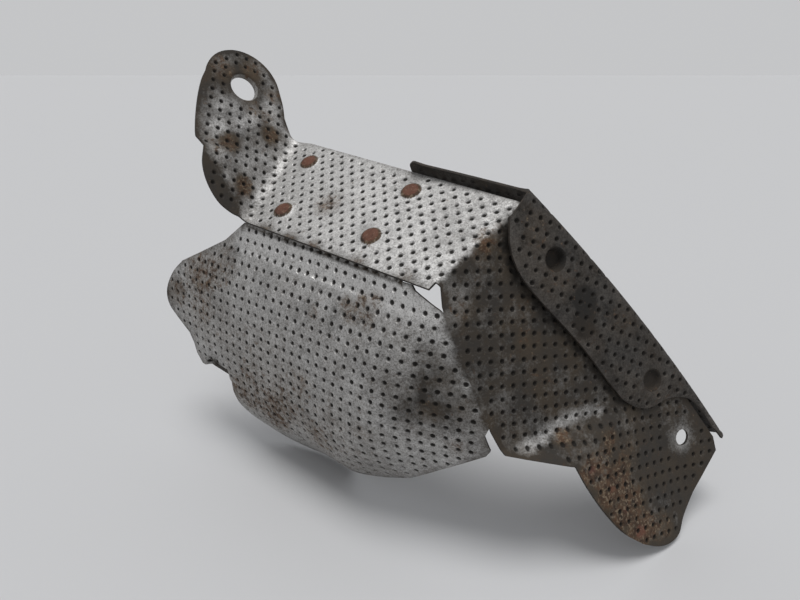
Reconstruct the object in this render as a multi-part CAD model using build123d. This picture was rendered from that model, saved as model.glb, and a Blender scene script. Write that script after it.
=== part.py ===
# Exhaust heat shield: one folded and drawn sheet that closes on itself with four pressed
# buttons, and a second sheet wrapped round its rear corner.
# Modelled with the top panel flat in XY (X along its front edge, Y to the rear, front right
# corner at the origin), then turned to the way the shield stands on the ground.
import os
from math import atan, cos, degrees, radians, sin, tan

from build123d import *

# Sheet
SHEET = 1.0
LAP_GAP = 0.3

# Top panel
TOP_LEFT_X = -97.0
TOP_REAR_LEFT = (-112.0, 50.3)
TOP_REAR_STEP_X = -46.0
TOP_REAR_Y = 48.6
TOP_FRONT_RIGHT_X = -1.5

# Fold between top and side panel
FOLD_ANGLE = 79.0
SIDE_BEND = 56.2
SIDE_RADIUS = 3.0
FOLD_START = 1.8

# Side panel and foot, written as (distance to the rear, distance down from the fold)
SIDE_CORNER = ((-17.0, 62.0), (-12.5, 68.0), (-1.6, 82.0))
RAMP_START = (-15.0, 61.0)
RAMP_END = (36.0, 89.0)
FOOT_TOP = (-1.6, 80.6)
FOOT_STEP = 8.3
FOOT_HINGE_END = (33.0, 155.0)
FOOT_LEFT = ((-1.6, 82.0), (-2.8, 95.0), (-2.4, 109.0), (1.1, 127.0))
FOOT_CORNER = ((1.1, 127.0), (4.4, 136.5), (10.3, 142.8), (17.6, 147.2))
FOOT_BOTTOM = ((17.6, 147.2), (33.1, 144.0), (54.5, 136.8))
FOOT_RIGHT = (57.0, 131.0)
FOOT_HOLE = (44.9, 118.6)
FOOT_HOLE_R = 3.25

# Ear, written as (distance along its hinge, height up the ear)
EAR_BEND = 58.0
EAR_RADIUS = 6.0
EAR_FOOT = EAR_RADIUS * tan(radians(EAR_BEND / 2))
EAR_HOLE = (57.0, 31.4)
EAR_HOLE_R = 5.5
EAR_COLLAR_R = 6.6
EAR_COLLAR_DEPTH = 3.0
EAR_BACK = ((50.5, EAR_FOOT), (57.5, 9.8), (68.5, 18.5))
EAR_ROUND = ((68.5, 18.5), (69.3, 44.2), (47.5, 47.0))
EAR_CREASE_LOW = 36.0
EAR_NOTCH_HIGH = (20.0, 35.2)
EAR_NOTCH_LOW = (16.7, 30.3)
EAR_LOBE = ((16.7, 30.3), (9.9, 26.5), (3.6, 17.2), (0.7, EAR_FOOT))
EAR_LOBE_TILT = 6.5
EAR_LOBE_TUCK = 0.6

# Front panel, written as (along the front edge, distance down the wall, stand-out forward)
FRONT_BEND = 58.5
STRIP = ((0.0, -1.5), (11.0, 1.2))
BULGE = ((11.0, 1.2), (22.0, 6.3), (40.0, 10.7), (58.0, 12.3), (78.0, 10.2), (90.0, 5.5), (112.0, -13.0))
FACET_OUT = -0.63
FACET_ALONG = -0.4234
FACET_DOWN = 0.1414
FACET_ROLL_FROM = 40.0
FACET_ROLL = 120.0
FACET_BLEND = 3.0
FLANGE_REAR_Y = 43.0
FLANGE_RADIUS = 2.5
FLANGE_LEFT = -98.0
FLANGE_RIGHT = -14.0
LEG_TUCK = 6.0
LEG_LENGTH = 5.0
FRONT_LEFT = ((-99.5, 1.2), (-110.9, 11.4), (-125.0, 20.0), (-141.8, 30.2), (-147.4, 37.0))
FRONT_TIP = ((-147.4, 37.0), (-148.6, 42.0), (-146.5, 48.0), (-141.0, 53.0))
FRONT_LOWER_LEFT = ((-141.0, 53.0), (-130.0, 59.5), (-127.5, 66.7), (-125.0, 75.0))
FRONT_BOTTOM = ((-98.0, 76.8), (-92.0, 84.0), (-88.0, 95.0), (-80.0, 108.5), (-66.0, 110.8), (-44.0, 109.6))
FRONT_LOWER_RIGHT = ((-37.0, 100.5), (-19.0, 94.0), (-6.8, 87.2), (7.7, 73.7), (17.3, 65.5), (24.5, 59.5))
SLIT = ((26.0, 56.6), (23.7, 50.4))
SEAM_DOWN = (46.4, 40.0, 30.0, 20.0, 7.6)
FRONT_NOTCH = (-9.2, 1.2)
RECESS = (-112.0, 73.5)
RECESS_LENGTH = 18.0
RECESS_HEIGHT = 6.0
RECESS_DEPTH = 2.5
GRID_LEFT = -154.0
GRID_RIGHT = 31.0
GRID_COLUMNS = 20

# Pressed buttons that close the sheet
BUTTONS = ((-93.9, 39.4), (-84.5, 11.3), (-35.7, 38.1), (-36.8, 12.7))
BUTTON_R = 3.6
BUTTON_RISE = 1.1
BUTTON_EDGE = 0.7
BUTTON_PIT_R = 2.4

# Piercing, as a plain grid of openings: every third hole of every third row
OPENING_R = 1.3
OPENING_STEP = 13.5
OPENING_MARGIN = 4.5
TOP_ROWS = ((-1.5, 0.74), 39.45)
SIDE_ROWS = ((-1.35, 0.44), 50.45)
EAR_ROWS = ((-26.6, -91.15), 22.85)
FRONT_ROWS = ((-39.8, 38.4), -2.2)
STRIP_ROWS = ((-1.9, 0.0), 71.9)

# Corner sheet: web behind the top panel and a strip lying over the side panel
WEB_FRONT_Y = 46.0
WEB_WIDTH = 14.0
WEB_LEFT = -44.0
LIP_ROUND = 3.0
STRIP_TOP = -2.8
STRIP_END = 133.4
STRIP_RISE_TOP = 4.6
STRIP_RISE_END = 1.6
STRIP_LEFT = ((37.1, -0.5), (30.8, 8.8), (27.8, 22.0), (28.3, 41.4), (31.2, 66.7), (33.8, 82.7))
STRIP_CUT = ((33.8, 82.7), (37.0, 91.0), (49.7, 100.6), (58.4, 112.0), (59.1, 120.4), (58.8, 128.0))
PITS = ((42.0, 21.8), (47.4, 88.2))
PIT_R = 4.8
PIT_FLOOR_R = 3.4
PIT_WALL = 0.8

# The way the shield stands
ROLL = 31.5
PITCH = 3.2
YAW = -39.1

# Reach of cutting tools past the sheet
REACH = 20.0

os.makedirs("parts", exist_ok=True)


def offset_corner(normals, depth):
    """Shift that puts a corner shared by one, two or three planes one depth behind each."""
    if len(normals) == 1:
        return normals[0] * -depth
    if len(normals) == 2:
        return (normals[0] + normals[1]) * (-depth / (1 + normals[0].dot(normals[1])))
    a, b, c = normals
    return (b.cross(c) + c.cross(a) + a.cross(b)) * (-depth / a.dot(b.cross(c)))


def corner_key(point):
    return (round(point.X, 4), round(point.Y, 4), round(point.Z, 4))


def loop_edges(loop):
    return list(zip(loop, loop[1:] + loop[:1]))


def loop_normal(loop, outward):
    total = Vector(0, 0, 0)
    for p, q in loop_edges(loop):
        total += (p - loop[0]).cross(q - loop[0])
    total = total.normalized()
    return total if total.dot(outward) > 0 else -total


def polygon(*points):
    return Face(Wire.make_polygon(points, close=True))


def folded_sheet(facets, outward):
    """Solid sheet with sharp creases, given the flat facets of its outer side."""
    planes_at = {}
    for loop in facets:
        for p in loop:
            planes_at.setdefault(corner_key(p), []).append(loop_normal(loop, outward))
    back = {key: offset_corner(normals, SHEET) for key, normals in planes_at.items()}
    uses = {}
    faces = []
    for loop in facets:
        faces.append(polygon(*loop))
        faces.append(polygon(*[p + back[corner_key(p)] for p in loop]))
        for p, q in loop_edges(loop):
            uses.setdefault(frozenset((corner_key(p), corner_key(q))), []).append((p, q))
    for edges in uses.values():
        if len(edges) == 1:
            p, q = edges[0]
            faces.append(polygon(p, q, q + back[corner_key(q)]))
            faces.append(polygon(p, q + back[corner_key(q)], p + back[corner_key(p)]))
    return Solid(Shell(faces))


def arc_strip(plane, radius, first, last, length):
    """Bent strip of sheet: a ring sector between two angles, run along the plane's Z."""
    inner = radius - SHEET
    middle = (first + last) / 2
    at = lambda r, angle: (r * cos(radians(angle)), r * sin(radians(angle)))
    outline = [
        ThreePointArc(at(radius, first), at(radius, middle), at(radius, last)),
        Line(at(radius, last), at(inner, last)),
        ThreePointArc(at(inner, last), at(inner, middle), at(inner, first)),
        Line(at(inner, first), at(radius, first)),
    ]
    return extrude(plane * make_face(outline), length)


def prism(plane, outline, back, front):
    """Block with a flat outline, reaching behind and in front of its plane."""
    return extrude(plane.offset(-back) * make_face(outline), back + front)


def flip(points):
    return [(down, rear) for rear, down in points]


def pierced(panel, plane, outline, rows, clear, depth):
    """Panel with plain six-sided openings in square rows, clear of its edges and of round spots."""
    origin, turn = rows
    inner = make_face(outline).face()
    edge = inner.outer_wire()
    first = Vector(OPENING_STEP, 0).rotate(Axis.Z, turn)
    second = Vector(0, OPENING_STEP).rotate(Axis.Z, turn)
    span = range(-12, 13)
    spots = [Vector(*origin) + first * i + second * j for i in span for j in span]
    spots = [p for p in spots if inner.is_inside(p) and edge.distance_to(p) > OPENING_MARGIN]
    spots = [p for p in spots if all((p - Vector(*spot)).length > radius for spot, radius in clear)]
    tool = RegularPolygon(OPENING_R, 6)
    return panel - [extrude(plane * Pos(p) * tool, depth, both=True) for p in spots]


# Directions of the panels
up = Vector(0, 0, 1)
fold = Vector(cos(radians(FOLD_ANGLE)), sin(radians(FOLD_ANGLE)), 0)
fold_away = Vector(fold.Y, -fold.X, 0)
side_down = fold_away * cos(radians(SIDE_BEND)) - up * sin(radians(SIDE_BEND))
side_out = fold_away * sin(radians(SIDE_BEND)) + up * cos(radians(SIDE_BEND))
side_plane = Plane((0, 0, 0), x_dir=side_down, z_dir=side_out)
hinge_foot = Vector(TOP_LEFT_X, 0, 0)
hinge = (Vector(*TOP_REAR_LEFT, 0) - hinge_foot).normalized()
hinge_left = Vector(-hinge.Y, hinge.X, 0)
ear_up = hinge_left * cos(radians(EAR_BEND)) + up * sin(radians(EAR_BEND))
ear_out = hinge.cross(ear_up)
ear_plane = Plane(hinge_foot, x_dir=hinge, z_dir=ear_out)
front_down = Vector(0, -cos(radians(FRONT_BEND)), -sin(radians(FRONT_BEND)))
front_out = Vector(0, -sin(radians(FRONT_BEND)), cos(radians(FRONT_BEND)))
front_plane = Plane((0, 0, 0), x_dir=(1, 0, 0), z_dir=-front_out)
side_tangent = SIDE_RADIUS * tan(radians(SIDE_BEND / 2))
top_rear_y = WEB_FRONT_Y - LAP_GAP


def side_point(rear, down, out=0.0):
    return fold * rear + side_down * down + side_out * out


def ear_point(along, height, out=0.0):
    return hinge_foot + hinge * along + ear_up * height + ear_out * out


def front_point(along, down, out):
    return Vector(along, 0, 0) + front_down * down + front_out * out


def facet_out(along, down):
    """Stand-out of the flat facet beside the side panel, rolling under at its foot."""
    roll = max(0.0, down - FACET_ROLL_FROM) ** 2 / FACET_ROLL
    return FACET_OUT + FACET_ALONG * along + FACET_DOWN * down - roll


def seam_point(down):
    """Where the facet's plane meets the side panel's plane, at a distance down the wall."""
    lean = side_out.dot(front_out)
    along = -(side_out.dot(front_down) * down + lean * facet_out(0, down)) / (side_out.X + lean * FACET_ALONG)
    return front_point(along, down, facet_out(along, down))


def blend(out, facet):
    """Smooth lower of two heights, rounded over the crease between them."""
    share = min(1.0, max(0.0, 0.5 + 0.5 * (out - facet) / FACET_BLEND))
    return out + (facet - out) * share - FACET_BLEND * share * (1 - share)


# Top panel, flat between the start of the ear bend and the start of the side bend
ear_line = hinge_foot - hinge_left * EAR_FOOT
ear_line_front = ear_line - hinge * (ear_line.Y / hinge.Y)
ear_line_rear = ear_line + hinge * ((TOP_REAR_LEFT[1] - ear_line.Y) / hinge.Y)
fold_line_front = fold * FOLD_START - fold_away * side_tangent
fold_line_rear = fold * ((top_rear_y + fold_away.Y * side_tangent) / fold.Y) - fold_away * side_tangent
top_outline = Polyline(
    (ear_line_front.X, ear_line_front.Y),
    (TOP_FRONT_RIGHT_X, 0),
    (fold_line_front.X, fold_line_front.Y),
    (fold_line_rear.X, fold_line_rear.Y),
    (TOP_REAR_STEP_X, top_rear_y),
    (TOP_REAR_STEP_X - 1.0, TOP_REAR_Y),
    (ear_line_rear.X, ear_line_rear.Y),
    close=True,
)
top = extrude(make_face(top_outline), -SHEET)
button_room = [(spot, BUTTON_R + OPENING_MARGIN / 2) for spot in BUTTONS]
top = pierced(top, Plane.XY, top_outline, TOP_ROWS, button_room, SHEET)

# Bend from the top into the side panel
fold_centre = fold * FOLD_START - fold_away * side_tangent - up * SIDE_RADIUS
fold_length = (fold_line_rear - fold_line_front).length
side_bend = arc_strip(
    Plane(fold_centre, x_dir=side_out, z_dir=fold), SIDE_RADIUS, -SIDE_BEND, 0, fold_length
)

# Side panel, ramp and kicked-out foot
ramp_start = side_point(*RAMP_START) + (side_point(*RAMP_START) - side_point(*RAMP_END)) * 0.2
ramp_end = side_point(*RAMP_END)
foot_top = ramp_end + (side_point(*FOOT_TOP, FOOT_STEP) - ramp_end) * 1.3
foot_hinge = side_point(*FOOT_HINGE_END) - ramp_end
side_sheet = folded_sheet(
    [
        [
            ramp_start,
            ramp_end,
            ramp_end + foot_hinge,
            side_point(70, FOOT_HINGE_END[1]),
            side_point(70, side_tangent),
            side_point(-30, side_tangent),
        ],
        [ramp_start, foot_top, ramp_end],
        [ramp_end, foot_top, foot_top + foot_hinge, ramp_end + foot_hinge],
    ],
    side_out,
)
seam = [seam_point(down) for down in SEAM_DOWN]
seam_side = [(p.dot(fold), p.dot(side_down)) for p in seam]
seam_front = [(p.X, p.dot(front_down)) for p in seam]
web_edge = lambda down: (top_rear_y - side_down.Y * down) / fold.Y
fold_run_rear = FOLD_START + fold_length
side_edge = ((FOLD_START, side_tangent), (fold_run_rear, side_tangent), (web_edge(95), 95))
side_outline = [
    Polyline(*flip([*seam_side, *side_edge, FOOT_RIGHT, FOOT_BOTTOM[-1]])),
    Polyline(*flip(FOOT_BOTTOM)),
    Spline(*flip(FOOT_CORNER)),
    Spline(*flip(FOOT_LEFT)),
    Polyline(*flip([seam_side[0], *SIDE_CORNER])),
]
side = side_sheet & prism(side_plane, side_outline, REACH, REACH)
side = pierced(side, side_plane, side_outline, SIDE_ROWS, [(flip([FOOT_HOLE])[0], 9.0)], REACH)
foot_hole_plane = Plane(side_point(*FOOT_HOLE), x_dir=side_down, z_dir=side_out)
side -= extrude(foot_hole_plane * Circle(FOOT_HOLE_R), REACH, both=True)

# Bend from the top up into the ear, its ends cut in line with the panels
ear_start = ear_point(EAR_LOBE[-1][0], EAR_FOOT)
ear_end = ear_point(EAR_BACK[0][0], EAR_FOOT)
bend_plane = Plane(ear_line + up * EAR_RADIUS - hinge * REACH, x_dir=-up, z_dir=hinge)
ear_bend = arc_strip(bend_plane, EAR_RADIUS + SHEET, 0, EAR_BEND, 60 + 2 * REACH)
bend_in = -(up + ear_out)
ear_bend = split(ear_bend, Plane(ear_start, z_dir=bend_in.cross(ear_start - ear_line_front)), keep=Keep.TOP)
ear_bend = split(ear_bend, Plane(ear_end, z_dir=bend_in.cross(ear_end - ear_line_rear)), keep=Keep.BOTTOM)

# Ear with its joggled lower lobe and drawn hole
lobe_rise = tan(radians(EAR_LOBE_TILT))
lobe_foot = EAR_FOOT - EAR_LOBE_TUCK
lobe_corner = (EAR_CREASE_LOW, lobe_foot)
crease_low = ear_point(EAR_CREASE_LOW, EAR_FOOT)
lobe_point = lambda along, height: ear_point(along, height, (height - EAR_FOOT) * lobe_rise)
crease_high = crease_low + (ear_point(*EAR_NOTCH_HIGH) - crease_low) * 1.4
crease_lobe = crease_low + (lobe_point(*EAR_NOTCH_LOW) - crease_low) * 1.4
ear_sheet = folded_sheet(
    [
        [crease_low, ear_point(85, EAR_FOOT), ear_point(85, 60), ear_point(0, 60), crease_high],
        [crease_low, crease_high, crease_lobe],
        [crease_low, crease_lobe, lobe_point(-20, 30), lobe_point(-20, lobe_foot), lobe_point(*lobe_corner)],
    ],
    ear_out,
)
ear_outline = [
    ThreePointArc(*EAR_BACK),
    ThreePointArc(*EAR_ROUND),
    Polyline(EAR_ROUND[-1], EAR_NOTCH_HIGH, EAR_NOTCH_LOW),
    Spline(*EAR_LOBE),
    Polyline(EAR_LOBE[-1], (EAR_LOBE[-1][0], lobe_foot), lobe_corner),
    Polyline(lobe_corner, (EAR_CREASE_LOW, EAR_FOOT), EAR_BACK[0]),
]
ear = ear_sheet & prism(ear_plane, ear_outline, REACH, REACH)
ear = pierced(ear, ear_plane, ear_outline, EAR_ROWS, [(EAR_HOLE, 9.5)], REACH)
ear_hole_plane = Plane(ear_point(*EAR_HOLE), x_dir=hinge, z_dir=-ear_out)
ear += extrude(ear_hole_plane * Circle(EAR_COLLAR_R), SHEET + EAR_COLLAR_DEPTH)
ear -= extrude(ear_hole_plane * Circle(EAR_HOLE_R), REACH, both=True)

# Flange of the front panel, bent back under the top; its leg tucks into the strip
strip_slope = (STRIP[1][1] - STRIP[0][1]) / (STRIP[1][0] - STRIP[0][0])
strip_angle = FRONT_BEND - degrees(atan(strip_slope))
flange_z = -SHEET - LAP_GAP
strip_start = front_point(0, *STRIP[0])
strip_run = (front_point(0, *STRIP[1]) - strip_start).normalized()
flange_corner = strip_start + strip_run * ((flange_z - strip_start.Z) / strip_run.Z)
leg_angle = strip_angle + LEG_TUCK
leg_run = Vector(0, -cos(radians(leg_angle)), -sin(radians(leg_angle)))
leg_back = Vector(0, sin(radians(leg_angle)), -cos(radians(leg_angle))) * SHEET
leg_end = flange_corner + leg_run * LEG_LENGTH
flange_inner = flange_corner + Vector(0, SHEET * tan(radians(leg_angle / 2)), -SHEET)
flange_outline = Polyline(
    (FLANGE_REAR_Y, flange_z),
    (flange_corner.Y, flange_corner.Z),
    (leg_end.Y, leg_end.Z),
    ((leg_end + leg_back).Y, (leg_end + leg_back).Z),
    (flange_inner.Y, flange_inner.Z),
    (FLANGE_REAR_Y, flange_z - SHEET),
    close=True,
)
flange_face = make_face(flange_outline)
outer_corner = flange_face.vertices().sort_by_distance((flange_corner.Y, flange_corner.Z))[0]
flange_face = fillet(outer_corner, FLANGE_RADIUS)
inner_corner = flange_face.vertices().sort_by_distance((flange_inner.Y, flange_inner.Z))[0]
flange_face = fillet(inner_corner, FLANGE_RADIUS - SHEET)
flange_plane = Plane((FLANGE_LEFT, 0, 0), x_dir=(0, 1, 0), z_dir=(1, 0, 0))
flange = extrude(flange_plane * flange_face, FLANGE_RIGHT - FLANGE_LEFT)

# Drawn front: plain strip and bulge, cut by a flat facet towards the side panel
bulge_line = Spline(*BULGE)
rows = [Vector(w, STRIP[0][1] + strip_slope * w) for w in (-2, 2, 6)]
rows += [bulge_line @ (i / 16) for i in range(17)]

grid = []
for column in range(GRID_COLUMNS):
    along = GRID_LEFT + (GRID_RIGHT - GRID_LEFT) * column / (GRID_COLUMNS - 1)
    grid.append([front_point(along, p.X, blend(p.Y, facet_out(along, p.X))) for p in rows])
front_skin = Face.make_surface_from_array_of_points(grid, tol=0.02)
inward = -SHEET if front_skin.normal_at().dot(front_out) > 0 else SHEET
front_sheet = Solid.thicken(front_skin, inward)
front_outline = [
    Polyline(FRONT_NOTCH, *FRONT_LEFT),
    Spline(*FRONT_TIP),
    Polyline(*FRONT_LOWER_LEFT),
    Polyline(FRONT_LOWER_LEFT[-1], *FRONT_BOTTOM, *FRONT_LOWER_RIGHT, *SLIT, *seam_front, FRONT_NOTCH),
]
front_block = prism(front_plane, front_outline, 60, 60)
front = front_sheet & front_block
front = pierced(front, front_plane, front_outline, FRONT_ROWS, [(RECESS, RECESS_LENGTH / 2 + 3)], 60)

# Recess pressed back at the lower left edge, open downwards
recess_out = bulge_line.position_at(0.6).Y
recess_plane = Plane(front_point(*RECESS, recess_out), x_dir=(1, 0, 0), z_dir=-front_out)
recess_wall = Rectangle(RECESS_LENGTH + 2 * SHEET, RECESS_HEIGHT + 2 * SHEET)
recess_room = Pos(0, RECESS_HEIGHT) * Rectangle(RECESS_LENGTH, 3 * RECESS_HEIGHT)
recess_cup = extrude(recess_plane.offset(SHEET / 2) * recess_wall, RECESS_DEPTH + SHEET / 2)
front += recess_cup & front_block
front -= extrude(recess_plane.offset(RECESS_DEPTH) * recess_room, -REACH)

# Buttons pressed through the top and the flange under it
button_depth = 2 * SHEET + LAP_GAP
button = Pos(0, 0, -button_depth) * extrude(Circle(BUTTON_R), button_depth + BUTTON_RISE)
button = chamfer(button.edges().group_by(Axis.Z)[-1], BUTTON_EDGE)
button_pit = Pos(0, 0, -button_depth) * extrude(Circle(BUTTON_PIT_R), button_depth + BUTTON_RISE - SHEET)

shield = top + side_bend + side + ear_bend + ear + front + flange
shield += [Pos(*spot, 0) * button for spot in BUTTONS]
shield -= [Pos(*spot, 0) * button_pit for spot in BUTTONS]

# Corner sheet: strip over the side panel
strip_fall = (STRIP_RISE_TOP - STRIP_RISE_END) / (STRIP_END - STRIP_TOP)
strip_rise = lambda down: STRIP_RISE_TOP - strip_fall * (down - STRIP_TOP)
web_rear_y = WEB_FRONT_Y + SHEET
strip_edge = lambda down: ((web_rear_y - side_down.Y * down - side_out.Y * strip_rise(down)) / fold.Y, down)
strip_normal = (side_out + side_down * strip_fall).normalized()
strip_plane = Plane(side_point(*strip_edge(STRIP_TOP), STRIP_RISE_TOP), x_dir=fold, z_dir=strip_normal)
strip_outline = [
    Polyline(*flip((STRIP_CUT[-1], strip_edge(STRIP_END), strip_edge(STRIP_TOP), STRIP_LEFT[0]))),
    Spline(*flip(STRIP_LEFT)),
    Spline(*flip(STRIP_CUT)),
]
strip_sheet = extrude(strip_plane * Rectangle(300, 400), -SHEET)
strip = strip_sheet & prism(side_plane, strip_outline, 0, REACH)
pit_room = [(spot, PIT_R + OPENING_MARGIN / 2) for spot in flip(PITS)]
strip = pierced(strip, side_plane, strip_outline, STRIP_ROWS, pit_room, REACH)

# Corner sheet: web standing behind the top panel
edge_top = side_point(*strip_edge(STRIP_TOP), strip_rise(STRIP_TOP))
edge_end = side_point(*strip_edge(STRIP_END), strip_rise(STRIP_END))
edge_run = (edge_end - edge_top).normalized()
web_in = Vector(edge_run.Z, 0, -edge_run.X) * WEB_WIDTH
web_low = edge_top.Z - WEB_WIDTH - LIP_ROUND
inner_end = edge_end + web_in
inner_top = inner_end - edge_run * ((inner_end.Z - web_low) / edge_run.Z)
web_outline = Polyline(
    (WEB_LEFT, edge_top.Z),
    (edge_top.X, edge_top.Z),
    (edge_end.X, edge_end.Z),
    (inner_end.X, inner_end.Z),
    (inner_top.X, web_low),
    (WEB_LEFT, web_low),
    close=True,
)
web_face = make_face(web_outline)
web_face = fillet(web_face.vertices().sort_by(Axis.X)[:2], LIP_ROUND)
web = extrude(Plane((0, web_rear_y, 0), x_dir=(1, 0, 0), z_dir=(0, -1, 0)) * web_face, SHEET)
corner_strip = strip + web

# Pits pressed down from the strip onto the side panel
for spot in PITS:
    pit_plane = Plane(side_point(*spot), x_dir=side_down, z_dir=side_out)
    rise = strip_rise(spot[1])
    pit_floor = pit_plane * Circle(PIT_FLOOR_R)
    pit_mouth = pit_plane.offset(rise - SHEET / 2) * Circle(PIT_R)
    room_floor = pit_plane.offset(SHEET) * Circle(PIT_FLOOR_R - PIT_WALL)
    room_mouth = pit_plane.offset(rise + SHEET) * Circle(PIT_R - PIT_WALL)
    corner_strip = corner_strip + loft([pit_floor, pit_mouth]) - loft([room_floor, room_mouth])

# Stand the shield on the ground and put the origin under the middle of its box
stand = Rot(0, 0, YAW) * Rot(0, PITCH, 0) * Rot(ROLL, 0, 0)
surface = (stand * Compound([shield, corner_strip])).tessellate(0.05, 0.2)[0]
middle_x = (min(p.X for p in surface) + max(p.X for p in surface)) / 2
middle_y = (min(p.Y for p in surface) + max(p.Y for p in surface)) / 2
place = Pos(-middle_x, -middle_y, -min(p.Z for p in surface)) * stand
for name, shape in (("shield", shield), ("corner_strip", corner_strip)):
    export_step(place * shape, "parts/" + name + ".step")
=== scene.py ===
from math import atan, atan2, cos, degrees, pi, radians, sin, sqrt, tan

import bmesh
import bpy
from mathutils import Matrix, Vector, noise
from mathutils.geometry import delaunay_2d_cdt


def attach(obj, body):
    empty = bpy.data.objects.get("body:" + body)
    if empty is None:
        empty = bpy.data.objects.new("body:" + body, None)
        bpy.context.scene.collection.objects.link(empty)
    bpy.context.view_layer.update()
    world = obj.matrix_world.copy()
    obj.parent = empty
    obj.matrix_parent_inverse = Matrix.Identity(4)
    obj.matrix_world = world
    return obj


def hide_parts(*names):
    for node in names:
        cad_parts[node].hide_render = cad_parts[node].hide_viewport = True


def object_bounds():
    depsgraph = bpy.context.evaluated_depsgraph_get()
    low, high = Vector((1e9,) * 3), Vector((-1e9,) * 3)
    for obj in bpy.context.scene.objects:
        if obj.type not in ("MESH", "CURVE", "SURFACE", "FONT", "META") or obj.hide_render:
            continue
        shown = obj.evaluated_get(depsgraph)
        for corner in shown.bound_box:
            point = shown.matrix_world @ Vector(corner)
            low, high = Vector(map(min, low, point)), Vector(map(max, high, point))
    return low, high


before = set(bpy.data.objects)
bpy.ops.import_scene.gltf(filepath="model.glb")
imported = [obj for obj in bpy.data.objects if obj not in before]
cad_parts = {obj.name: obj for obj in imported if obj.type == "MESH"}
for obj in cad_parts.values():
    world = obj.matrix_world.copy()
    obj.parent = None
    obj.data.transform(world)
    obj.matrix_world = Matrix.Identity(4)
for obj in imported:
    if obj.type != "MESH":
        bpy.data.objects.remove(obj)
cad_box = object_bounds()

# Blank of the shield: top panel, ear, side panel and foot, in one pierced sheet of coated steel.
# The ear is folded up on its left, the side panel down on its right, and the foot kicked out.
# Sizes are in millimetres with the top panel flat: X along its front edge, Y to the rear.
sheet = 1.0
lap_gap = 0.3
up = Vector((0, 0, 1))

# Fold into the side panel
fold = Vector((cos(radians(79)), sin(radians(79)), 0))
fold_away = Vector((fold.y, -fold.x, 0))
side_bend = radians(56.2)
side_radius = 3.0
side_tangent = side_radius * tan(side_bend / 2)
side_arc = side_radius * side_bend
side_down = fold_away * cos(side_bend) - up * sin(side_bend)
side_out = fold_away * sin(side_bend) + up * cos(side_bend)

# Fold into the ear
hinge_foot = Vector((-97.0, 0, 0))
hinge = (Vector((-112.0, 50.3, 0)) - hinge_foot).normalized()
hinge_left = Vector((-hinge.y, hinge.x, 0))
ear_bend = radians(58)
ear_radius = 6.0
ear_tangent = ear_radius * tan(ear_bend / 2)
ear_arc = ear_radius * ear_bend
ear_up = hinge_left * cos(ear_bend) + up * sin(ear_bend)
ear_out = hinge.cross(ear_up)

# Ramp and foot, as (distance to the rear, distance down), and how far the foot stands out
ramp_start = Vector((-15.0, 61.0))
ramp_end = Vector((36.0, 89.0))
foot_top = Vector((-1.6, 80.6))
foot_hinge_end = Vector((33.0, 155.0))
foot_step = 8.3
foot_hole = (44.9, 118.6)

# Ear, as (distance along its hinge, height up the ear)
ear_hole = (57.0, 31.4)
ear_crease = (36.0, ear_tangent)
ear_notch_high = (19.6, 35.3)
ear_notch_low = (16.2, 30.9)
lobe_slope = tan(radians(6.5))

buttons = ((-93.9, 39.4), (-84.5, 11.3), (-35.7, 38.1), (-36.8, 12.7))
top_rear_y = 45.7


def side_point(rear, down, lift=0.0):
    return fold * rear + side_down * down + side_out * lift


def side_blank(rear, down):
    """Place on the flat blank of a point of the side panel."""
    p = fold * rear + fold_away * (down - 2 * side_tangent + side_arc)
    return Vector((p.x, p.y))


def ear_blank(along, height):
    """Place on the flat blank of a point of the ear."""
    p = hinge_foot + hinge * along + hinge_left * (height - 2 * ear_tangent + ear_arc)
    return Vector((p.x, p.y))


def soft_lower(a, b, width):
    """Lower of two heights, rounded where they cross."""
    share = min(1.0, max(0.0, 0.5 + 0.5 * (a - b) / width))
    return a + (b - a) * share - width * share * (1 - share)


def height_over(line_from, line_to, top, step, p):
    """Height of a slope that starts at a line and reaches the step at the top point."""
    run = (line_to - line_from).normalized()
    across = Vector((-run.y, run.x))
    return step * across.dot(p - line_from) / across.dot(top - line_from)


def foot_lift(rear, down):
    p = Vector((rear, down))
    ramp = height_over(ramp_start, ramp_end, foot_top, foot_step, p)
    foot = height_over(ramp_end, foot_hinge_end, foot_top, foot_step, p)
    return -soft_lower(-soft_lower(ramp, foot, 1.2), 0.0, 0.6)


def lobe_lift(along, height):
    """The ear's lower lobe is joggled forward across a crease that fans from its foot."""
    fan = lambda p: atan2(p[1] - ear_crease[1], p[0] - ear_crease[0])
    high = fan(ear_notch_high)
    share = (fan((along, height + 0.01)) - high) / (fan(ear_notch_low) - high)
    return min(1.0, max(0.0, share)) * (height - ear_tangent) * lobe_slope


def fold_up(p, lift):
    """Folded place of a point on the flat blank, lifted off the sheet's outer face."""
    flat = Vector((p.x, p.y, 0))
    run = fold_away.dot(flat) + side_tangent
    if run > side_arc:
        rear = fold.dot(flat)
        down = run - side_arc + side_tangent
        return side_point(rear, down, lift + foot_lift(rear, down))
    if run > 0:
        normal = fold_away * sin(run / side_radius) + up * cos(run / side_radius)
        centre = fold * fold.dot(flat) - fold_away * side_tangent - up * side_radius
        return centre + normal * (side_radius + lift)
    run = hinge_left.dot(flat - hinge_foot) + ear_tangent
    along = hinge.dot(flat - hinge_foot)
    if run > ear_arc:
        height = run - ear_arc + ear_tangent
        return hinge_foot + hinge * along + ear_up * height + ear_out * (lift + lobe_lift(along, height))
    if run > 0:
        normal = up * cos(run / ear_radius) - hinge_left * sin(run / ear_radius)
        centre = hinge_foot + hinge * along - hinge_left * ear_tangent + up * ear_radius
        return centre - normal * (ear_radius - lift)
    return flat + up * lift


def dense(points, step):
    """The same open line with more points on it."""
    line = []
    for p, q in zip(points, points[1:]):
        count = max(1, round((q - p).length / step))
        line += [p.lerp(q, i / count) for i in range(count)]
    return line + [points[-1]]


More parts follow.
